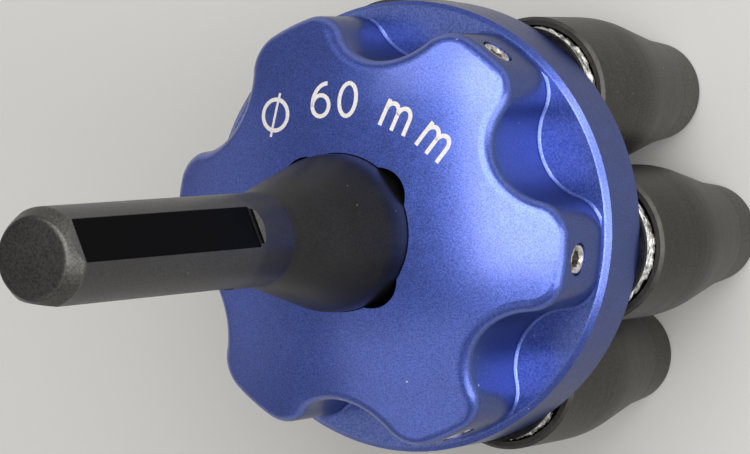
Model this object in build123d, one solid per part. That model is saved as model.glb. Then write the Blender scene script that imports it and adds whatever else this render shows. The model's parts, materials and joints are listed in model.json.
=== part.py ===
from build123d import *
import math
import os

# Pipe belling tool. Sizes are in millimetres.
# Z is the tool's axis with the shank up, and Z = 0 is the plane of the roller noses, which it stands on.
# The first roller, its axle and its lobe lie on +X, and the others follow at equal angles.

# Rollers: the circle round all of them is the bore of the bell that the tool makes
ROLLERS = 6
BELL_BORE = 60.0
ROLLER_D = 19.4
ROLLER_L = 36.7
ROLLER_TAPER_START = 21.4  # height at which the taper meets the cylinder
ROLLER_TAPER_BLEND = 36.0
ROLLER_KINK_Z = 6.9  # height at which the taper turns into the nose
ROLLER_KINK_D = 14.1
ROLLER_NOSE_D = 12.7
ROLLER_NOSE_ROUND = 0.8
ROLLER_RIM_CHAMFER = 0.4

# Hollows in a roller
RECESS_D = 17.4  # takes the thrust ring at the disc's end
RECESS_DEPTH = 3.4
NOSE_RECESS_D = 9.8  # hides the end screw and its washer
NOSE_RECESS_DEPTH = 3.6

# Axles, stepped so that the nose keeps a thick wall
AXLE_D = 8.0
AXLE_NOSE_D = 6.0
AXLE_STEP_Z = 18.0
AXLE_CHAMFER = 0.4

# Plain bearings: bronze bushes that turn with the roller, and a steel thrust ring that stands still
FIT = 0.03  # radial clearance of a running fit
BIG_BUSH_D = 12.0
NOSE_BUSH_D = 9.0
BUSH_L = 10.0
THRUST_RING_D = 16.0
THRUST_RING_L = 5.0
THRUST_RING_CHAMFER = 0.3
SHIM_D = 16.8
SHIM_T = 0.8
END_PLAY = 0.1  # axial gap between the thrust ring and the floor of its recess

# Screw and washer at each roller's nose
END_WASHER_D = 9.0
END_WASHER_T = 0.8
END_WASHER_GAP = 0.3
END_SCREW_D = 3.0
END_SCREW_L = 8.8
END_HEAD_D = 5.5
END_HEAD_H = 2.0
END_HEX = 2.0

# Drive disc: a round flange with a domed, six-lobed knob on its front
FLANGE_D = 56.0
RIM_W = 8.2
RIM_BEVEL = 0.7
REAR_CHAMFER = 0.4
KNOB_D = 54.2
DOME_HEIGHT = 18.5  # above the flange's rim
DOME_R = 52.0
SCALLOP_R = 7.6
SCALLOP_PCD = 56.8
LOBE_CORNER_R = 4.5
KNOB_EDGE_R = 2.0
FOOT_RAMP = 0.3  # small ramp where the knob's wall meets the flange

# Square socket in the disc, with a round bore over it, and the shank's foot that fills them
SOCKET_AF = 17.0
SOCKET_CORNER_R = 3.5
SOCKET_FLOOR = 12.0  # above the disc's rear face
FOOT_GAP = 0.04  # between the foot and each wall of the socket
FOOT_H = 9.7
HUB_GAP = 0.1  # between the hub and the round bore

# Shank: hub, bottle-shaped neck and round shank with three flats for a drill's chuck
HUB_D = 19.0
HUB_H = 7.0
HUB_BLEND = 12.0
NECK_H = 16.9
NECK_BLEND = 4.0
SHANK_D = 11.0
SHANK_L = 46.5
TIP_D = 8.8
TIP_H = 2.0
TIP_ROUND = 0.8
FLATS = 3
FLAT_DEPTH = 0.62
FLAT_L = 38.7  # from the shank's tip
FLAT_ANGLE = 29.5
FLAT_STEP_DEPTH = 0.45  # shallower land that the cutter leaves before the flat's end
FLAT_STEP_L = 0.8

# Screw and washer that hold the shank from behind
SHANK_SCREW_D = 8.0
SHANK_SCREW_L = 25.0
SHANK_HEAD_D = 13.0
SHANK_HEAD_H = 8.0
SHANK_HEX = 6.0
SHANK_WASHER_D = 16.0
SHANK_WASHER_T = 1.6
COUNTERBORE_D = 17.0
COUNTERBORE_DEPTH = 6.5

# Set screws that clamp each axle through its lobe
SET_SCREW_D = 4.0
SET_SCREW_L = 4.0
SET_HEX = 2.0
SET_SCREW_SINK = 0.15
SET_SCREW_MOUTH = 0.4  # depth of the countersink at the key's socket
SET_SCREW_Z = 7.1  # above the flange's rim

SLIP = 0.02  # radial clearance of a screw in its hole

# Derived places
AXLE_R = (BELL_BORE - ROLLER_D) / 2
STEP_ANGLE = 360 / ROLLERS
RECESS_FLOOR_Z = ROLLER_L - RECESS_DEPTH
DISC_REAR_Z = RECESS_FLOOR_Z + END_PLAY + THRUST_RING_L + SHIM_T
RIM_Z = DISC_REAR_Z + RIM_W
FLANGE_Z = RIM_Z + RIM_BEVEL
DOME_Z = RIM_Z + DOME_HEIGHT
SOCKET_FLOOR_Z = DISC_REAR_Z + SOCKET_FLOOR
SCREW_AXIS_Z = RIM_Z + SET_SCREW_Z
SCREW_TIP_R = KNOB_D / 2 - SET_SCREW_SINK - SET_SCREW_L
AXLE_TOP_Z = SCREW_AXIS_Z + SET_SCREW_D / 2 + 0.6
END_WASHER_Z = NOSE_RECESS_DEPTH - END_WASHER_GAP - END_WASHER_T
COUNTERBORE_Z = DISC_REAR_Z + COUNTERBORE_DEPTH
HUB_Z = SOCKET_FLOOR_Z + FOOT_H
SHANK_TIP_Z = HUB_Z + HUB_H + NECK_H + SHANK_L


def turned(points, rounds=None):
    """A turned solid about Z from its half section, with some of its corners rounded."""
    section = make_face(Polyline([(r, 0, z) for r, z in points], close=True))
    for (r, z), radius in (rounds or {}).items():
        corner = section.vertices().sort_by_distance(Vector(r, 0, z))[0]
        section = fillet(corner, radius)
    return revolve(section, Axis.Z, 360)


def tube(outer_d, inner_d, low, high, chamfer=0.0):
    """A ring between two heights, with its outer corners chamfered."""
    outer, inner = outer_d / 2, inner_d / 2
    section = [(inner, low), (outer, low), (outer, high), (inner, high)]
    if chamfer:
        section[1:3] = [
            (outer - chamfer, low),
            (outer, low + chamfer),
            (outer, high - chamfer),
            (outer - chamfer, high),
        ]
    return turned(section)


def rod(diameter, low, high):
    """A round bar between two heights."""
    return Pos(0, 0, low) * extrude(Circle(diameter / 2), high - low)


def hex_bar(across_flats, low, high):
    """A hexagonal bar between two heights, used to cut a key's socket."""
    return Pos(0, 0, low) * extrude(RegularPolygon(across_flats / math.sqrt(3), 6), high - low)


def rounded_square(across_flats, corner_r, low, high):
    """A square bar with large round corners."""
    return Pos(0, 0, low) * extrude(RectangleRounded(across_flats, across_flats, corner_r), high - low)


def at_roller(shape, index):
    """Moves a shape from the tool's axis to one roller's axle."""
    return Rot(0, 0, STEP_ANGLE * index) * Pos(AXLE_R, 0, 0) * shape


def around(shape):
    """Copies a shape to every roller, as a list."""
    return [Rot(0, 0, STEP_ANGLE * index) * shape for index in range(ROLLERS)]


def roller():
    """A tapered roller, hollow for its bushes, its thrust ring and its end screw."""
    big, rim = ROLLER_D / 2, ROLLER_D / 2 - ROLLER_RIM_CHAMFER
    kink, nose = ROLLER_KINK_D / 2, ROLLER_NOSE_D / 2
    bush_z = RECESS_FLOOR_Z - BUSH_L
    nose_bush_z = NOSE_RECESS_DEPTH + BUSH_L
    outside = [
        (nose, 0),
        (kink, ROLLER_KINK_Z),
        (big, ROLLER_TAPER_START),
        (big, ROLLER_L - ROLLER_RIM_CHAMFER),
        (rim, ROLLER_L),
        (RECESS_D / 2, ROLLER_L),
    ]
    inside = [
        (RECESS_D / 2, RECESS_FLOOR_Z),
        (BIG_BUSH_D / 2, RECESS_FLOOR_Z),
        (BIG_BUSH_D / 2, bush_z),
        (NOSE_BUSH_D / 2, bush_z),
        (NOSE_BUSH_D / 2, nose_bush_z),
        (NOSE_BUSH_D / 2, NOSE_RECESS_DEPTH),
        (NOSE_RECESS_D / 2, NOSE_RECESS_DEPTH),
        (NOSE_RECESS_D / 2, 0),
    ]
    return turned(
        outside + inside,
        {(nose, 0): ROLLER_NOSE_ROUND, (big, ROLLER_TAPER_START): ROLLER_TAPER_BLEND},
    )


def axle():
    """A stepped axle with a flat for its set screw and a threaded end for the end screw."""
    big, small, cut = AXLE_D / 2, AXLE_NOSE_D / 2, AXLE_CHAMFER
    low = END_WASHER_Z + END_WASHER_T
    body = turned(
        [
            (0, low),
            (small - cut, low),
            (small, low + cut),
            (small, AXLE_STEP_Z - cut),
            (big, AXLE_STEP_Z),
            (big, AXLE_TOP_Z - cut),
            (big - cut, AXLE_TOP_Z),
            (0, AXLE_TOP_Z),
        ]
    )
    body -= rod(END_SCREW_D + 2 * SLIP, low, low + END_SCREW_L - END_WASHER_T + 1.5)
    flat_at = SCREW_TIP_R - AXLE_R
    flat_low = SCREW_AXIS_Z - SET_SCREW_D / 2 - 1
    body -= Pos(flat_at + AXLE_D / 2, 0, (flat_low + AXLE_TOP_Z + 1) / 2) * Box(
        AXLE_D, 2 * AXLE_D, AXLE_TOP_Z + 1 - flat_low
    )
    return body


def socket_screw(diameter, length, head_d, head_h, key, head_z):
    """A cap screw that points up, with its head below head_z and its key's socket underneath."""
    bevel = diameter / 12
    body = turned(
        [
            (0, head_z - head_h),
            (head_d / 2 - bevel, head_z - head_h),
            (head_d / 2, head_z - head_h + bevel),
            (head_d / 2, head_z),
            (diameter / 2, head_z),
            (diameter / 2, head_z + length - 2 * bevel),
            (diameter / 2 - 2 * bevel, head_z + length),
            (0, head_z + length),
        ]
    )
    return body - hex_bar(key, head_z - head_h, head_z - head_h * 0.45)


def set_screw():
    """A headless screw that lies along +X at its own height, with its key's socket outwards."""
    half, cut = SET_SCREW_D / 2, SET_SCREW_D / 12
    body = turned(
        [
            (0, 0),
            (half - 2 * cut, 0),
            (half, 2 * cut),
            (half, SET_SCREW_L - cut),
            (half - cut, SET_SCREW_L),
            (0, SET_SCREW_L),
        ]
    )
    body -= hex_bar(SET_HEX, SET_SCREW_L / 2, SET_SCREW_L + 1)
    mouth = Cone(SET_HEX / 2, SET_HEX / 2 + SET_SCREW_MOUTH, SET_SCREW_MOUTH)
    body -= Pos(0, 0, SET_SCREW_L - SET_SCREW_MOUTH / 2) * mouth
    return Pos(SCREW_TIP_R, 0, SCREW_AXIS_Z) * Rot(0, 90, 0) * body


def knob_outline():
    """The lobed outline of the knob: a circle with a round scallop between each two lobes."""
    scallops = Rot(0, 0, STEP_ANGLE / 2) * PolarLocations(SCALLOP_PCD / 2, ROLLERS)
    outline = Circle(KNOB_D / 2) - [place * Circle(SCALLOP_R) for place in scallops]
    return fillet(outline.vertices(), LOBE_CORNER_R)


def knob():
    """The domed knob, with its front edges rounded and a small ramp at its foot."""
    outline = knob_outline()
    dome = Pos(0, 0, DOME_Z - DOME_R) * Sphere(DOME_R)
    body = Pos(0, 0, RIM_Z) * extrude(outline, DOME_HEIGHT) & dome
    front = body.faces().sort_by(Axis.Z)[-1]
    body = fillet(front.edges(), KNOB_EDGE_R)
    sink = FOOT_RAMP / 4  # how far the ramp reaches into the knob and the flange
    low = offset(outline, FOOT_RAMP + sink)
    high = Pos(0, 0, FOOT_RAMP + 2 * sink) * offset(outline, -sink)
    foot = loft([low.faces()[0], high.faces()[0]], ruled=True)
    foot &= rod(KNOB_D - 2 * sink, 0, 2 * FOOT_RAMP)
    return body + Pos(0, 0, FLANGE_Z - sink) * foot


def drive_disc():
    """The disc that carries the axles: flange, knob, square socket and all its holes."""
    flange_r, knob_r = FLANGE_D / 2, FLANGE_D / 2 - RIM_BEVEL
    body = turned(
        [
            (0, DISC_REAR_Z),
            (flange_r - REAR_CHAMFER, DISC_REAR_Z),
            (flange_r, DISC_REAR_Z + REAR_CHAMFER),
            (flange_r, RIM_Z),
            (knob_r, FLANGE_Z),
            (0, FLANGE_Z),
        ]
    )
    body += knob()
    body -= rounded_square(SOCKET_AF, SOCKET_CORNER_R, SOCKET_FLOOR_Z, DOME_Z + 1)
    body -= rod(HUB_D + 2 * HUB_GAP, HUB_Z, DOME_Z + 1)
    body -= rod(SHANK_SCREW_D + 0.4, DISC_REAR_Z, SOCKET_FLOOR_Z + 1)
    body -= rod(COUNTERBORE_D, DISC_REAR_Z - 1, COUNTERBORE_Z)
    axle_hole = Pos(AXLE_R, 0, 0) * rod(AXLE_D + 2 * SLIP, DISC_REAR_Z - 1, AXLE_TOP_Z + 0.2)
    screw_hole = Rot(0, 90, 0) * rod(SET_SCREW_D + 2 * SLIP, AXLE_R, KNOB_D)
    for hole in around(axle_hole) + around(Pos(0, 0, SCREW_AXIS_Z) * screw_hole):
        body -= hole
    return body


def flat_cutter():
    """What is milled off for one flat: the flat, a shallow land at its end and the ramp that leaves it."""
    outside, top = SHANK_D, SHANK_TIP_Z + 1
    flat, land = SHANK_D / 2 - FLAT_DEPTH, SHANK_D / 2 - FLAT_STEP_DEPTH
    flat_z = SHANK_TIP_Z - FLAT_L
    land_z = flat_z - FLAT_STEP_L
    section = make_face(
        Polyline(
            (flat, 0, top),
            (flat, 0, flat_z),
            (land, 0, flat_z - (land - flat)),
            (land, 0, land_z),
            (outside, 0, land_z - (outside - land)),
            (outside, 0, top),
            close=True,
        )
    )
    return extrude(section, SHANK_D, both=True)


def shank():
    """The steel shank: square foot, round hub, bottle-shaped neck and three flats."""
    hub, round_r, tip = HUB_D / 2, SHANK_D / 2, TIP_D / 2
    hub_top = HUB_Z + HUB_H
    neck_top = hub_top + NECK_H
    body = turned(
        [
            (0, HUB_Z),
            (hub, HUB_Z),
            (hub, hub_top),
            (round_r, neck_top),
            (round_r, SHANK_TIP_Z - TIP_H),
            (tip, SHANK_TIP_Z),
            (0, SHANK_TIP_Z),
        ],
        {
            (hub, hub_top): HUB_BLEND,
            (round_r, neck_top): NECK_BLEND,
            (round_r, SHANK_TIP_Z - TIP_H): TIP_ROUND,
            (tip, SHANK_TIP_Z): TIP_ROUND,
        },
    )
    foot_af = SOCKET_AF - 2 * FOOT_GAP
    foot = rounded_square(foot_af, SOCKET_CORNER_R, SOCKET_FLOOR_Z, HUB_Z)
    body += foot & rod(HUB_D, SOCKET_FLOOR_Z, HUB_Z)
    for index in range(FLATS):
        body -= Rot(0, 0, FLAT_ANGLE + 360 / FLATS * index) * flat_cutter()
    screw_top = COUNTERBORE_Z - SHANK_WASHER_T + SHANK_SCREW_L
    return body - rod(SHANK_SCREW_D + 2 * SLIP, SOCKET_FLOOR_Z, screw_top + 2)


def write(shape, name):
    """Writes one node's solids to its file."""
    export_step(shape, f"parts/{name}.step")


def build():
    """Makes every node, first the ones on the tool's axis and then those of each roller."""
    os.makedirs("parts", exist_ok=True)
    washer_z = COUNTERBORE_Z - SHANK_WASHER_T
    write(drive_disc(), "drive_disc")
    write(shank(), "shank")
    write(tube(SHANK_WASHER_D, SHANK_SCREW_D + 0.4, washer_z, COUNTERBORE_Z), "shank_washer")
    write(
        socket_screw(SHANK_SCREW_D, SHANK_SCREW_L, SHANK_HEAD_D, SHANK_HEAD_H, SHANK_HEX, washer_z),
        "shank_screw",
    )
    write(Compound(children=around(set_screw())), "axle_set_screws")

    end_washer = tube(END_WASHER_D, END_SCREW_D + 0.2, END_WASHER_Z, END_WASHER_Z + END_WASHER_T)
    end_screw = socket_screw(
        END_SCREW_D, END_SCREW_L, END_HEAD_D, END_HEAD_H, END_HEX, END_WASHER_Z
    )
    for shape, name in ((end_washer, "roller_end_washers"), (end_screw, "roller_end_screws")):
        write(Compound(children=around(Pos(AXLE_R, 0, 0) * shape)), name)

    ring_z = RECESS_FLOOR_Z + END_PLAY
    shim_z = ring_z + THRUST_RING_L
    on_axle = AXLE_D + 2 * SLIP
    pieces = {
        "roller": roller(),
        "axle": axle(),
        "big_bush": tube(
            BIG_BUSH_D, AXLE_D + 2 * FIT, RECESS_FLOOR_Z - BUSH_L, RECESS_FLOOR_Z
        ),
        "nose_bush": tube(
            NOSE_BUSH_D, AXLE_NOSE_D + 2 * FIT, NOSE_RECESS_DEPTH, NOSE_RECESS_DEPTH + BUSH_L
        ),
        "thrust_ring": tube(THRUST_RING_D, on_axle, ring_z, shim_z, THRUST_RING_CHAMFER),
        "shim_washer": tube(SHIM_D, on_axle, shim_z, shim_z + SHIM_T),
    }
    for name, shape in pieces.items():
        for index in range(ROLLERS):
            write(at_roller(shape, index), f"{name}_{index + 1}")


build()
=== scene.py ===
import json
import math

import bmesh
import bpy
from mathutils import Matrix, Vector, noise


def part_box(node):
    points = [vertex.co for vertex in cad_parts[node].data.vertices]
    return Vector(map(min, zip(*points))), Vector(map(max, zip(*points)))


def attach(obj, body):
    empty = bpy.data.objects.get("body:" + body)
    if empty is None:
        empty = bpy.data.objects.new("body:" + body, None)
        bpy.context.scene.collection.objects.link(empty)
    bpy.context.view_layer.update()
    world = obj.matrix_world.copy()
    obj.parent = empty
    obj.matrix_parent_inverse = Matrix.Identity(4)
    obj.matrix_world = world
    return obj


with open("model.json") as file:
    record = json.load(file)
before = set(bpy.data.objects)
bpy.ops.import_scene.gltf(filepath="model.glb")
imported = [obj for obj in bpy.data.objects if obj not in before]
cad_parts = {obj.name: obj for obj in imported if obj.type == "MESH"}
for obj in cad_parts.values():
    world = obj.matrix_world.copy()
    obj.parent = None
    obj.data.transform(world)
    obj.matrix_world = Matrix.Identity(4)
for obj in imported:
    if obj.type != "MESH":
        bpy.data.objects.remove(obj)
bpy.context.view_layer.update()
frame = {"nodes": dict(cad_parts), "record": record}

# The tool in metres: it stands on its roller noses at Z = 0, with the shank up
MM = 0.001
ROLLERS = 6
ROLLER_LOW, ROLLER_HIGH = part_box("roller_1")
RING_LOW, RING_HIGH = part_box("thrust_ring_1")
SHIM_LOW_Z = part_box("shim_washer_1")[0].z
TIP_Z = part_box("shank")[1].z
AXLE_R = (ROLLER_LOW.x + ROLLER_HIGH.x) / 2
RING_R = (RING_HIGH.x - RING_LOW.x) / 2
KINK_Z = 6.9 * MM  # where a roller's taper turns into its nose
FLANGE_Z = 48.1 * MM  # the turned floor of the scallops
DOME_R = 52 * MM  # radius of the disc's domed front
DOME_CENTRE_Z = 13.9 * MM
SHANK_R = 5.5 * MM
CHAMFER_Z = TIP_Z - 2 * MM  # where the tip's chamfer starts
FLAT_END_Z = TIP_Z - 39.5 * MM  # where the shank's flats end
NECK_END_Z = TIP_Z - 46.5 * MM  # where the neck runs out into the straight shank

# Camera, at the photograph's viewing angle
PHOTO_WIDTH = 750
FOCAL_PIXELS = 4000
SENSOR_WIDTH = 36
NEAREST, FARTHEST = 0.05, 20
CAMERA_AZIMUTH = math.radians(101.99)
CAMERA_ELEVATION = math.radians(61.15)
CAMERA_ROLL = math.radians(-94.84)
CAMERA_TARGET = Vector((-4.7, -0.7, 47.2)) * MM
CAMERA_DISTANCE = 498.5 * MM


def turned_to(azimuth, elevation):
    """A unit vector from the object towards a viewer at that azimuth and elevation."""
    flat = math.cos(elevation)
    return Vector((math.sin(azimuth) * flat, -math.cos(azimuth) * flat, math.sin(elevation)))


def make_camera():
    data = bpy.data.cameras.new("camera")
    data.sensor_width = SENSOR_WIDTH
    data.lens = FOCAL_PIXELS / PHOTO_WIDTH * SENSOR_WIDTH
    data.clip_start = NEAREST
    data.clip_end = FARTHEST
    camera = bpy.data.objects.new("camera", data)
    bpy.context.scene.collection.objects.link(camera)
    back = turned_to(CAMERA_AZIMUTH, CAMERA_ELEVATION)
    upright = (-back).to_track_quat("-Z", "Y").to_matrix()
    turn = Matrix.Rotation(CAMERA_ROLL, 3, "Z")
    camera.matrix_world = Matrix.LocRotScale(
        CAMERA_TARGET + back * CAMERA_DISTANCE, upright @ turn, None
    )
    bpy.context.scene.camera = camera
    return camera


camera = make_camera()
bpy.context.view_layer.update()
PICTURE_RIGHT = camera.matrix_world.col[0].xyz
PICTURE_UP = camera.matrix_world.col[1].xyz
TO_CAMERA = camera.matrix_world.col[2].xyz

# Material tools
NOISE_LOW, NOISE_HIGH = 0.3, 0.7  # most of a noise lies between these two values


class Paint:
    """One procedural material, built node by node."""

    def __init__(self, name):
        self.material = bpy.data.materials.new(name)
        self.material.use_nodes = True
        self.tree = self.material.node_tree
        self.shader = self.tree.nodes["Principled BSDF"]
        self.place = self.node("TexCoord").outputs["Object"]

    def node(self, kind, inputs=(), **settings):
        """Adds a node, with its settings and its inputs: values, or other nodes' outputs."""
        new = self.tree.nodes.new("ShaderNode" + kind)
        for key, value in settings.items():
            setattr(new, key, value)
        for key, value in dict(inputs).items():
            self.put(new.inputs[key], value)
        return new

    def put(self, socket, value):
        """Links a node's output to the socket, or sets a value or colour on it."""
        if isinstance(value, bpy.types.NodeSocket):
            self.tree.links.new(value, socket)
        elif isinstance(value, tuple) and socket.type == "RGBA":
            socket.default_value = (*value, 1)
        else:
            socket.default_value = value

    def set(self, **values):
        """Sets the main shader's inputs, named with _ for a space."""
        for key, value in values.items():
            self.put(self.shader.inputs[key.replace("_", " ")], value)

    def math(self, operation, *values):
        return self.node("Math", enumerate(values), operation=operation).outputs[0]

    def vector(self, operation, first, second):
        inputs = {0: first, 1: second}
        return self.node("VectorMath", inputs, operation=operation).outputs[0]

    def split(self, vector):
        return self.node("SeparateXYZ", {0: vector}).outputs

    def join(self, x, y, z):
        return self.node("CombineXYZ", {0: x, 1: y, 2: z}).outputs[0]

    def height(self):
        """How high a place is, in metres."""
        return self.split(self.place)[2]

    def noise(self, scale, detail=2.0, roughness=0.5, vector=None):
        """Noise with that many features to the metre."""
        inputs = {
            "Vector": vector or self.place,
            "Scale": scale,
            "Detail": detail,
            "Roughness": roughness,
        }
        return self.node("TexNoise", inputs).outputs[0]

    def streaks(self, vector, detail=2.0, roughness=0.6):
        """Noise over a vector that is already scaled, so that it can be stretched."""
        return self.noise(1.0, detail, roughness, vector)

    def spots(self, scale, size, share, seed=0.0):
        """1 on small round spots, spaced by the scale, on that share of the places."""
        shifted = self.vector("ADD", self.place, (seed, seed * 0.7, seed * 0.3))
        cells = self.node("TexVoronoi", {"Vector": shifted, "Scale": scale})
        near = self.ramp(cells.outputs["Distance"], size, size * 0.6)
        kept = self.math("LESS_THAN", self.split(cells.outputs["Color"])[0], share)
        return self.math("MULTIPLY", near, kept)

    def ramp(self, value, low, high, to_low=0.0, to_high=1.0):
        """Maps low to to_low and high to to_high, and clamps."""
        inputs = {0: value, 1: low, 2: high, 3: to_low, 4: to_high}
        return self.node("MapRange", inputs).outputs[0]

    def vary(self, noise, to_low, to_high):
        """Spreads a noise over a range."""
        return self.ramp(noise, NOISE_LOW, NOISE_HIGH, to_low, to_high)

    def band(self, value, middle, half, soft):
        """1 where a value is within half of the middle, with soft sides."""
        away = self.math("ABSOLUTE", self.math("SUBTRACT", value, middle))
        return self.ramp(away, half + soft, half)

    def mix(self, share, first, second):
        """Blends two colours."""
        new = self.node("Mix", data_type="RGBA")
        for index, value in ((0, share), (6, first), (7, second)):
            self.put(new.inputs[index], value)
        return new.outputs[2]

    def mottle(self, noise, first, second, low=NOISE_LOW, high=NOISE_HIGH):
        """Blends two colours by a noise: the first where it is low, the second where it is high."""
        return self.mix(self.ramp(noise, low, high), first, second)

    def shade(self, colour, amount):
        """Multiplies a colour by a number that varies over the surface."""
        return self.vector("MULTIPLY", colour, self.join(amount, amount, amount))

    def tint(self, share, colour, factors):
        """Multiplies a colour by one factor for each of red, green and blue, where share is 1."""
        return self.mix(share, colour, self.vector("MULTIPLY", colour, factors))

    def bump(self, *layers):
        """Bumps made of layers of (height from 0 to 1, depth in metres)."""
        normal = None
        for height, depth in layers:
            inputs = {"Height": height, "Distance": depth, "Strength": 1.0}
            if normal:
                inputs["Normal"] = normal
            normal = self.node("Bump", inputs).outputs[0]
        self.put(self.shader.inputs["Normal"], normal)

    def wall(self, leaning=0.55, upright=0.15):
        """1 where the surface stands upright, 0 where it faces up or down."""
        normal = self.node("TexCoord").outputs["Normal"]
        return self.ramp(self.math("ABSOLUTE", self.split(normal)[2]), leaning, upright)

    def round_axis(self, x=0.0, y=0.0):
        """(angle, radius, height) round an upright axis, in radians and metres."""
        local = self.split(self.vector("SUBTRACT", self.place, (x, y, 0)))
        angle = self.math("ARCTAN2", local[1], local[0])
        square = self.math("MULTIPLY", local[0], local[0])
        radius = self.math("SQRT", self.math("MULTIPLY_ADD", local[1], local[1], square))
        return angle, radius, local[2]


# Floor, world and lamps
FLOOR_RADIUS = 3
FLOOR_COLOUR = (0.56, 0.56, 0.55)
FLOOR_ROUGHNESS = 0.9
WORLD_COLOUR = (0.88, 0.88, 0.87, 1)
WORLD_STRENGTH = 0.3
LAMP_COLOUR = (1.0, 0.985, 0.96)
LAMP_DISTANCE = 0.9
LAMP_AIM = Vector((0, 0, 0.05))  # a place in the disc

# Each lamp's direction in the picture (right, up, towards the camera), size and brightness
LAMPS = {
    "key_lamp": ((0.11, 0.28, 0.95), (0.86, 1.2), 3.6),
    "top_lamp": ((-0.38, 0.72, 0.58), (0.5, 0.4), 1.7),
    "side_lamp": ((-0.84, -0.07, 0.54), (0.36, 0.4), 0.25),
    "left_lamp": ((-0.97, -0.08, -0.12), (0.5, 0.9), 0.2),
    "lower_lamp": ((-0.4, -0.75, 0.5), (0.8, 0.7), 0.55),
    "right_lamp": ((0.78, -0.16, 0.6), (0.7, 0.7), 2.4),
}


def new_object(name, form, material):
    """An object from a bmesh."""
    mesh = bpy.data.meshes.new(name)
    form.to_mesh(mesh)
    form.free()
    mesh.materials.append(material)
    made = bpy.data.objects.new(name, mesh)
    bpy.context.scene.collection.objects.link(made)
    return made


def make_floor():
    paint = Paint("floor")
    paint.set(Base_Color=FLOOR_COLOUR, Roughness=FLOOR_ROUGHNESS)
    form = bmesh.new()
    bmesh.ops.create_circle(form, cap_ends=True, segments=96, radius=FLOOR_RADIUS)
    new_object("floor", form, paint.material)


def make_world():
    world = bpy.data.worlds.new("world")
    bpy.context.scene.world = world
    world.use_nodes = True
    background = world.node_tree.nodes["Background"]
    background.inputs["Color"].default_value = WORLD_COLOUR
    background.inputs["Strength"].default_value = WORLD_STRENGTH


def make_lamp(name, direction, size, radiance):
    """A soft box that faces the disc, upright in the picture."""
    data = bpy.data.lights.new(name, "AREA")
    data.shape = "RECTANGLE"
    data.size, data.size_y = size
    data.energy = radiance * math.pi * size[0] * size[1]
    data.color = LAMP_COLOUR
    light = bpy.data.objects.new(name, data)
    bpy.context.scene.collection.objects.link(light)
    right, up, back = direction
    out = (PICTURE_RIGHT * right + PICTURE_UP * up + TO_CAMERA * back).normalized()
    across = PICTURE_UP.cross(out).normalized()
    turn = Matrix((across, out.cross(across), out)).transposed()
    light.matrix_world = Matrix.LocRotScale(LAMP_AIM + out * LAMP_DISTANCE, turn, None)


make_floor()
make_world()
for name, (direction, size, radiance) in LAMPS.items():
    make_lamp(name, direction, size, radiance)


# Materials: the noise scales are features to the metre
def anodised_blue():
    """Bead-blasted aluminium, anodised blue: a satin metal with a fine bright grain."""
    deep, bright, dust = (0.018, 0.064, 0.40), (0.084, 0.146, 0.66), (0.55, 0.6, 0.75)
    floor_painted_light, wall_painted_shade = (2.1, 1.7, 1.2), (0.56, 0.62, 0.50)
    reach = 0.1 * MM  # how far above and below its height the turned floor is found
    paint = Paint("blue_anodised_aluminium")
    grain = paint.noise(5000, 1.0)
    patch = paint.noise(260, 3.0)
    tone = paint.shade(paint.mottle(grain, deep, bright), paint.vary(patch, 0.93, 1.07))
    wall = paint.wall()
    turned = paint.band(paint.height(), FLANGE_Z, reach, reach)
    turned = paint.math("MULTIPLY", turned, paint.math("SUBTRACT", 1.0, wall))
    # Painted light: the turned floor of the scallops is painted lighter
    tone = paint.tint(turned, tone, floor_painted_light)
    # Painted shade: the upright walls, the rim side among them, are painted darker
    tone = paint.tint(wall, tone, wall_painted_shade)
    paint.set(
        Base_Color=paint.mix(paint.spots(420, 0.07, 0.3), tone, dust),
        Metallic=0.9,
        Roughness=paint.vary(paint.noise(900), 0.29, 0.36),
        Specular_Tint=(0.3, 0.3, 0.3),
        Coat_Weight=paint.ramp(wall, 0.0, 1.0, 1.0, 0.5),
        Coat_Roughness=0.24,
        Coat_IOR=1.75,
    )
    paint.bump((patch, 0.03 * MM), (grain, 0.012 * MM))
    return paint.material


# Painted light and shade up the shank (shaded neck, highlighted chamfer, shaded end face): from one
# height to another, the factors below and above
SHANK_PAINTED_LIGHT = {
    "neck": (NECK_END_Z - 2.8 * MM, NECK_END_Z + 8.2 * MM, 0.42, 1.05),
    "chamfer": (CHAMFER_Z - 0.5 * MM, CHAMFER_Z, 1.0, 2.0),
    "tip": (TIP_Z - 0.2 * MM, TIP_Z - 0.02 * MM, 1.0, 0.7),
}

# Painted shade: a darker band just above the neck
BAND_Z = NECK_END_Z + 3.2 * MM
BAND_HALF = 3 * MM
BAND_SOFT = 1.5 * MM
BAND_PAINTED_SHADE = 0.6


def shank_flats(paint, radius, height):
    """1 on the shank's milled flats, which lie a little inside its round surface."""
    above = paint.math("GREATER_THAN", height, FLAT_END_Z)
    below = paint.math("LESS_THAN", height, CHAMFER_Z - 0.3 * MM)
    inside = paint.ramp(radius, SHANK_R - 0.01 * MM, SHANK_R - 0.04 * MM)
    return paint.math("MULTIPLY", inside, paint.math("MULTIPLY", above, below))


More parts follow.
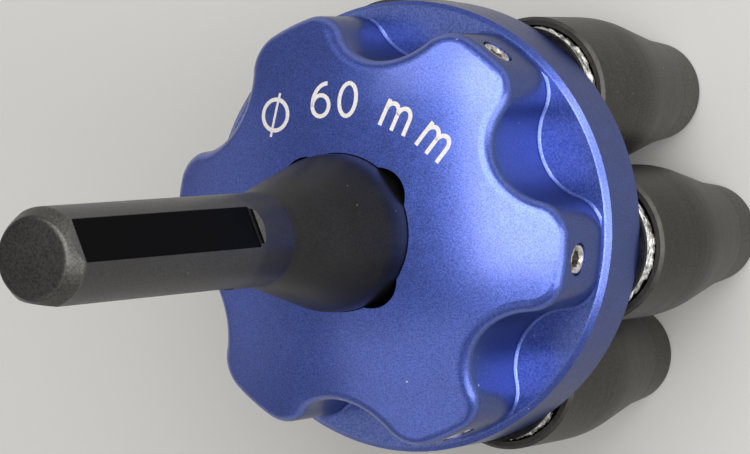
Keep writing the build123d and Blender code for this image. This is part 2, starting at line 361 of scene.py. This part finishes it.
def black_shank():
    """Blackened turned steel, with smooth milled flats."""
    dark, light, speck = (0.032, 0.031, 0.029), (0.050, 0.048, 0.045), (0.22, 0.21, 0.20)
    flat_black, flat_tint = (0.004, 0.004, 0.005), (0.02, 0.02, 0.02)
    paint = Paint("blackened_shank")
    _, radius, height = paint.round_axis()
    flat = shank_flats(paint, radius, height)
    patch = paint.noise(160, 4.0, 0.6)
    grain = paint.noise(4200)
    tone = paint.mottle(patch, dark, light)
    # Painted light and shade up the shank
    for low, high, below, above in SHANK_PAINTED_LIGHT.values():
        tone = paint.shade(tone, paint.ramp(height, low, high, below, above))
    # Painted shade in a band just above the neck
    band = paint.band(height, BAND_Z, BAND_HALF, BAND_SOFT)
    tone = paint.shade(tone, paint.ramp(band, 0.0, 1.0, 1.0, BAND_PAINTED_SHADE))
    tone = paint.mix(flat, tone, flat_black)
    tone = paint.shade(tone, paint.vary(grain, 0.6, 1.4))
    turned = paint.streaks(paint.join(0.0, 0.0, paint.math("MULTIPLY", height, 5200)))
    smoother = paint.math("MULTIPLY", flat, 0.12)
    paint.set(
        Base_Color=paint.mix(paint.spots(600, 0.08, 0.22), tone, speck),
        Metallic=0.9,
        Roughness=paint.math("SUBTRACT", paint.vary(patch, 0.40, 0.50), smoother),
        Specular_Tint=paint.mix(flat, (1, 1, 1), flat_tint),
        Coat_Weight=paint.ramp(flat, 0.0, 1.0, 0.2, 0.04),
        Coat_Roughness=0.3,
    )
    paint.bump((turned, 0.003 * MM), (grain, 0.004 * MM))
    return paint.material


ROLLER_PAINTED_LIGHT = (0.62, 0.85, 0.8, 0.75, 0.8, 0.72)  # how light each roller is painted: painted light and shade, roller by roller
NOSE_PAINTED_LIGHT = 1.7  # how much lighter its nose is painted: a painted highlight
RIM_Z = ROLLER_HIGH.z - 0.2 * MM  # where a painted highlight runs round a roller's rim at its disc end


def axle_place(index):
    """The x and y of a roller's axle."""
    turn = math.tau / ROLLERS * index
    return AXLE_R * math.cos(turn), AXLE_R * math.sin(turn)


def turning_lines(paint, angle, radius, height, seed):
    """The fine lines that turning leaves round a roller."""
    round_scale, up_scale = 0.9, 2600
    place = paint.join(
        paint.math("MULTIPLY", angle, round_scale),
        paint.math("ADD", paint.math("MULTIPLY", radius, up_scale), seed),
        paint.math("MULTIPLY", height, up_scale),
    )
    return paint.streaks(place, 3.0, 0.65)


def black_roller(index):
    """Hardened dark steel, scuffed round the taper, with painted highlights on its nose and round its
    rim.
    """
    dark, light, scuffed = (0.032, 0.028, 0.022), (0.048, 0.043, 0.035), (0.16, 0.155, 0.145)
    edge, speck = (0.085, 0.081, 0.076), (0.24, 0.23, 0.21)
    seed = 0.37 * (index + 1)
    paint = Paint(f"roller_steel_{index + 1}")
    angle, radius, height = paint.round_axis(*axle_place(index))
    patch = paint.noise(110, 4.0, 0.6, paint.vector("ADD", paint.place, (seed, 0, 0)))
    grain = paint.noise(3600)
    lines = turning_lines(paint, angle, radius, height, seed)
    tone = paint.shade(paint.mottle(patch, dark, light), paint.vary(lines, 0.88, 1.12))
    tone = paint.shade(tone, paint.vary(grain, 0.3, 1.7))
    # Painted light and shade: each roller painted lighter or darker as a whole
    tone = paint.shade(tone, ROLLER_PAINTED_LIGHT[index])
    # Painted highlight: the nose painted lighter below the kink
    nose_painted_light = paint.ramp(height, KINK_Z + 0.7 * MM, KINK_Z - 1.3 * MM, 1.0, NOSE_PAINTED_LIGHT)
    tone = paint.shade(tone, nose_painted_light)
    kink = paint.band(height, KINK_Z, 0.3 * MM, 0.7 * MM)
    scuff = paint.math("MULTIPLY", kink, paint.spots(1500, 0.28, 0.35, seed))
    tone = paint.mix(scuff, tone, scuffed)
    # Painted highlight round the rim, broken into patches like wear
    patchy = paint.vary(paint.noise(700, 3.0, 0.6), 0.5, 1.0)
    rim = paint.band(height, RIM_Z, 0.15 * MM, 0.3 * MM)
    tone = paint.mix(paint.math("MULTIPLY", rim, patchy), tone, edge)
    paint.set(
        Base_Color=paint.mix(paint.spots(520, 0.07, 0.22, seed), tone, speck),
        Metallic=0.85,
        Roughness=paint.ramp(lines, 0.25, 0.75, 0.42, 0.54),
        Coat_Weight=0.12,
        Coat_Roughness=0.35,
    )
    paint.bump((lines, 0.004 * MM), (grain, 0.005 * MM))
    return paint.material


def bright_metal(name, colour, stain, roughness):
    """Machined metal with fine scratches and a few stains."""
    scratches = (900, 900, 5200)
    paint = Paint(name)
    patch = paint.noise(700, 4.0, 0.65)
    lines = paint.streaks(paint.vector("MULTIPLY", paint.place, scratches))
    tone = paint.mottle(patch, colour, stain, 0.45, 0.75)
    paint.set(
        Base_Color=paint.shade(tone, paint.ramp(lines, 0.25, 0.75, 0.85, 1.1)),
        Metallic=1.0,
        Roughness=paint.vary(patch, roughness - 0.06, roughness + 0.10),
    )
    paint.bump((lines, 0.003 * MM))
    return paint.material


def dark_shim():
    """Dark spring steel, with a painted highlight along its edge on the side of the ring."""
    dark, light, edge_shine = (0.020, 0.020, 0.022), (0.050, 0.048, 0.045), (0.62, 0.61, 0.58)
    paint = Paint("dark_shim_steel")
    patch = paint.noise(900, 3.0, 0.6)
    # Painted highlight along the shim's edge
    edge = paint.band(paint.height(), SHIM_LOW_Z, 0.14 * MM, 0.05 * MM)
    paint.set(
        Base_Color=paint.mix(edge, paint.mottle(patch, dark, light, 0.35), edge_shine),
        Metallic=0.9,
        Roughness=paint.vary(patch, 0.34, 0.48),
    )
    paint.bump((patch, 0.01 * MM))
    return paint.material


def black_screw():
    """Blackened cap screw, with the straight knurl round its head."""
    dark, light = (0.035, 0.034, 0.032), (0.065, 0.062, 0.056)
    knurl_r, ridges = 6.2 * MM, 48.0
    paint = Paint("blackened_screw")
    angle, radius, _ = paint.round_axis()
    wave = paint.math("SINE", paint.math("MULTIPLY", angle, ridges))
    head = paint.math("GREATER_THAN", radius, knurl_r)
    knurl = paint.math("MULTIPLY", paint.ramp(wave, -0.6, 0.6), head)
    patch = paint.noise(500, 3.0, 0.6)
    paint.set(
        Base_Color=paint.mottle(patch, dark, light, 0.35),
        Metallic=0.9,
        Roughness=paint.vary(patch, 0.32, 0.45),
        Coat_Weight=0.3,
        Coat_Roughness=0.25,
    )
    paint.bump((knurl, 0.12 * MM), (paint.noise(3000), 0.003 * MM))
    return paint.material


def set_screw_steel():
    """Stainless steel, dulled in random patches by oil."""
    oiled, clean = (0.16, 0.13, 0.10), (0.66, 0.64, 0.61)
    paint = Paint("set_screw_steel")
    patch = paint.noise(1100, 4.0, 0.7)
    paint.set(
        Base_Color=paint.mottle(patch, oiled, clean, 0.36, 0.52),
        Metallic=1.0,
        Roughness=paint.vary(patch, 0.22, 0.40),
    )
    paint.bump((patch, 0.03 * MM))
    return paint.material


def etched_white():
    """The pale, slightly uneven face of the size mark."""
    dull, pale = (0.56, 0.53, 0.51), (0.70, 0.67, 0.645)
    paint = Paint("etched_mark")
    grain = paint.noise(4200)
    paint.set(Base_Color=paint.mottle(grain, dull, pale), Roughness=0.75)
    paint.bump((grain, 0.006 * MM))
    return paint.material


def bearing_grease():
    """Whitish grease, wet where it is thick and grey where it is thin."""
    grey, white = (0.06, 0.06, 0.055), (0.74, 0.75, 0.72)
    streak_scale, streak_share = (420, 420, 2600), 0.7
    paint = Paint("bearing_grease")
    streak = paint.streaks(paint.vector("MULTIPLY", paint.place, streak_scale), 4.0, 0.65)
    patch = paint.noise(1500, 4.0, 0.65)
    thick = paint.math(
        "ADD",
        paint.math("MULTIPLY", streak, streak_share),
        paint.math("MULTIPLY", patch, 1 - streak_share),
    )
    paint.set(
        Base_Color=paint.mottle(thick, grey, white, 0.42, 0.57),
        Metallic=0.3,
        Roughness=paint.vary(patch, 0.26, 0.42),
        Coat_Weight=0.8,
        Coat_Roughness=0.12,
    )
    paint.bump((thick, 0.15 * MM), (paint.noise(5000), 0.02 * MM))
    return paint.material


# Machined metals: colour, stain and roughness
BRIGHT_METALS = {
    "bright_steel": ((0.62, 0.60, 0.56), (0.42, 0.38, 0.32), 0.26),
    "ground_steel": ((0.60, 0.60, 0.58), (0.40, 0.39, 0.37), 0.22),
    "bronze": ((0.55, 0.36, 0.17), (0.34, 0.21, 0.09), 0.36),
}


def paint_nodes():
    """Gives every node the material of its slot, and some pieces one of their own."""
    of_slot = {"blue_anodised_aluminium": anodised_blue()}
    for name, values in BRIGHT_METALS.items():
        of_slot[name] = bright_metal(name, *values)
    own = {
        "shank": black_shank(),
        "shank_screw": black_screw(),
        "axle_set_screws": set_screw_steel(),
    }
    shim = dark_shim()
    for index in range(ROLLERS):
        own[f"roller_{index + 1}"] = black_roller(index)
        own[f"shim_washer_{index + 1}"] = shim
    for part in frame["record"]["subparts"]:
        name = part["node"]
        slots = frame["nodes"][name].data.materials
        slots.clear()
        slots.append(own.get(name) or of_slot[part["material_slot"]])


# The size mark on the dome: plain strokes, in millimetres from the middle of the base line
MARK_CENTRE = Vector((-0.19, -5.69))  # of the arc that the mark stands on
MARK_BASE_R = 19.43
MARK_HEIGHT = 4.41
MARK_LEAN = -0.08  # sideways for each step up
MARK_STROKE = 0.5
MARK_THIN_STROKE = 0.32
MARK_LIFT = 0.02 * MM  # above the dome
MARK_SINK = 0.03 * MM  # under the dome
SAME_PLACE = 0.0001 * MM  # points nearer than this are one


def arc(centre, radii, start, end, steps=28):
    """Points on a piece of an ellipse, from one angle to another in degrees."""
    points = []
    for step in range(steps + 1):
        angle = math.radians(start + (end - start) * step / steps)
        x = centre[0] + radii[0] * math.cos(angle)
        points.append(Vector((x, centre[1] + radii[1] * math.sin(angle))))
    return points


def line(start, end, steps=12):
    """Points on a straight stroke, close enough to follow the dome."""
    return [Vector(start).lerp(Vector(end), step / steps) for step in range(steps + 1)]


def glyph_slashed_o():
    half_width, half_height = 1.84, (MARK_HEIGHT - MARK_STROKE) / 2
    overhang = 0.1
    slash = line((-1.55, -overhang), (1.5, MARK_HEIGHT + overhang))
    ring = arc((0, MARK_HEIGHT / 2), (half_width, half_height), 0, 360, 56)
    return [(ring, MARK_STROKE), (slash, MARK_THIN_STROKE)]


def glyph_six():
    bowl_half_width, bowl_half_height, lean = 1.16, 1.28, 0.9
    middle = MARK_STROKE / 2 + bowl_half_height
    stem_height = MARK_HEIGHT - MARK_STROKE / 2 - middle
    bowl = arc((0, middle), (bowl_half_width, bowl_half_height), 0, 360, 48)
    stem = arc((lean, middle), (lean + bowl_half_width, stem_height), 180, 87)
    return [(bowl, MARK_STROKE), (stem, MARK_STROKE)]


def glyph_nought():
    half_width, half_height = 1.13, (MARK_HEIGHT - MARK_STROKE) / 2
    return [(arc((0, MARK_HEIGHT / 2), (half_width, half_height), 0, 360, 56), MARK_STROKE)]


def glyph_m():
    height, gap, bow = 3.24, 1.69, 1.05
    spring_line = height - MARK_STROKE / 2 - bow
    strokes = [(line((-gap, 0), (-gap, height)), MARK_STROKE)]
    for side in (-gap, 0.0):
        arch = arc((side + gap / 2, spring_line), (gap / 2, bow), 180, 0)
        strokes.append((arch[:-1] + line(arch[-1], (side + gap, 0)), MARK_STROKE))
    return strokes


# Each glyph and the angle on the arc, in degrees, at which it stands
MARK = (
    (glyph_slashed_o, 121.3),
    (glyph_six, 103.4),
    (glyph_nought, 93.3),
    (glyph_m, 74.4),
    (glyph_m, 58.6),
)


def is_closed(points):
    """Whether a stroke ends where it starts."""
    return (points[0] - points[-1]).length < SAME_PLACE / MM


def stroke_sides(points, width):
    """The left and right sides of a stroke along a line of points."""
    first, last = (points[-2], points[1]) if is_closed(points) else (points[0], points[-1])
    sides = []
    for point, before, after in zip(points, [first, *points[:-1]], [*points[1:], last]):
        along = (after - before).normalized()
        across = Vector((-along.y, along.x)) * width / 2
        sides.append((point + across, point - across))
    return sides


def on_dome(point, angle, lift):
    """A point of a glyph, put on the dome."""
    up = Vector((math.cos(angle), math.sin(angle)))
    right = Vector((up.y, -up.x))
    lean = MARK_LEAN * (point.y - MARK_HEIGHT / 2)
    flat = (MARK_CENTRE + up * (MARK_BASE_R + point.y) + right * (point.x + lean)) * MM
    return Vector((flat.x, flat.y, DOME_CENTRE_Z + math.sqrt(DOME_R**2 - flat.length_squared) + lift))


def add_stroke(form, points, width, angle):
    """Adds one stroke of a glyph: a strip on the dome, closed at both ends."""
    rings = []
    for left, right in stroke_sides(points, width):
        corners = ((left, MARK_LIFT), (right, MARK_LIFT), (right, -MARK_SINK), (left, -MARK_SINK))
        rings.append([form.verts.new(on_dome(corner, angle, lift)) for corner, lift in corners])
    for one, two in zip(rings, rings[1:]):
        for side in range(4):
            other = (side + 1) % 4
            form.faces.new((one[side], one[other], two[other], two[side]))
    if not is_closed(points):
        form.faces.new(rings[0][::-1])
        form.faces.new(rings[-1])


def make_mark(material):
    form = bmesh.new()
    for glyph, turn in MARK:
        for points, width in glyph():
            add_stroke(form, points, width, math.radians(turn))
    bmesh.ops.remove_doubles(form, verts=form.verts, dist=SAME_PLACE)
    bmesh.ops.recalc_face_normals(form, faces=form.faces)
    mark = new_object("size_mark", form, material)
    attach(mark, "tool_body")


# Grease smeared on the outside of each thrust ring
GREASE_TURNS = 240
GREASE_ROWS = 22
GREASE_HIGH = SHIM_LOW_Z - 0.05 * MM
GREASE_LOW = GREASE_HIGH - 2.45 * MM
GREASE_INSIDE = 0.08 * MM  # how far its back lies inside the ring
GREASE_DEPTH = 0.7 * MM
GREASE_FADE = 5  # the depth grows from each edge to full at one part in this many

# The parts that make up its thickness, as shares of the depth: below 0 the ring is bare
EVEN_SHARE = 0.25
STREAK_SHARE = 0.9
LUMP_SHARE = 0.5
THINNEST_SHARE = -0.15

# How much the noise changes round the ring, up the ring and from ring to ring
STREAKS = (5, 7, 11.3)
LUMPS = (2.2, 0, 7.1)
STREAK_LAYERS = (0.9, 2.1, 4)  # how fast they fade, how much finer each is, and how many


def noise_place(spread, angle, share, index):
    """A place in the noise that comes back to itself after a turn round the ring."""
    round_ring, up_ring, to_next = spread
    up = share * up_ring + index * to_next
    return Vector((math.cos(angle) * round_ring, math.sin(angle) * round_ring, up))


def grease_depth(angle, share, index):
    """How far the grease stands out of the ring at a place: streaks that run round it."""
    streak = noise.fractal(noise_place(STREAKS, angle, share, index), *STREAK_LAYERS)
    lump = noise.noise(noise_place(LUMPS, angle, share, index))
    fade = min(1.0, share * GREASE_FADE, (1 - share) * GREASE_FADE)
    thickness = EVEN_SHARE + STREAK_SHARE * streak + LUMP_SHARE * lump
    return GREASE_DEPTH * fade * max(THINNEST_SHARE, thickness)


def grease_column(centre, angle, index):
    """The points of one upright slice of grease: up its outside, then down its back."""
    out = Vector((math.cos(angle), math.sin(angle), 0))
    column = []
    for row in range(GREASE_ROWS):
        share = row / (GREASE_ROWS - 1)
        z = GREASE_LOW + (GREASE_HIGH - GREASE_LOW) * share
        depth = grease_depth(angle, share, index)
        column.append(centre + out * (RING_R + depth) + Vector((0, 0, z)))
    for z in (GREASE_HIGH, GREASE_LOW):
        column.append(centre + out * (RING_R - GREASE_INSIDE) + Vector((0, 0, z)))
    return column


def make_grease(index, material):
    centre = Vector((*axle_place(index), 0))
    form = bmesh.new()
    columns = []
    for step in range(GREASE_TURNS):
        column = grease_column(centre, math.tau * step / GREASE_TURNS, index)
        columns.append([form.verts.new(point) for point in column])
    for one, two in zip(columns, columns[1:] + columns[:1]):
        for row in range(len(one)):
            after = (row + 1) % len(one)
            form.faces.new((one[row], two[row], two[after], one[after]))
    bmesh.ops.recalc_face_normals(form, faces=form.faces)
    for face in form.faces:
        face.smooth = True
    grease = new_object(f"bearing_grease_{index + 1}", form, material)
    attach(grease, "tool_body")


paint_nodes()
make_mark(etched_white())
grease_material = bearing_grease()
for number in range(ROLLERS):
    make_grease(number, grease_material)

bpy.context.scene.view_settings.view_transform = "Standard"
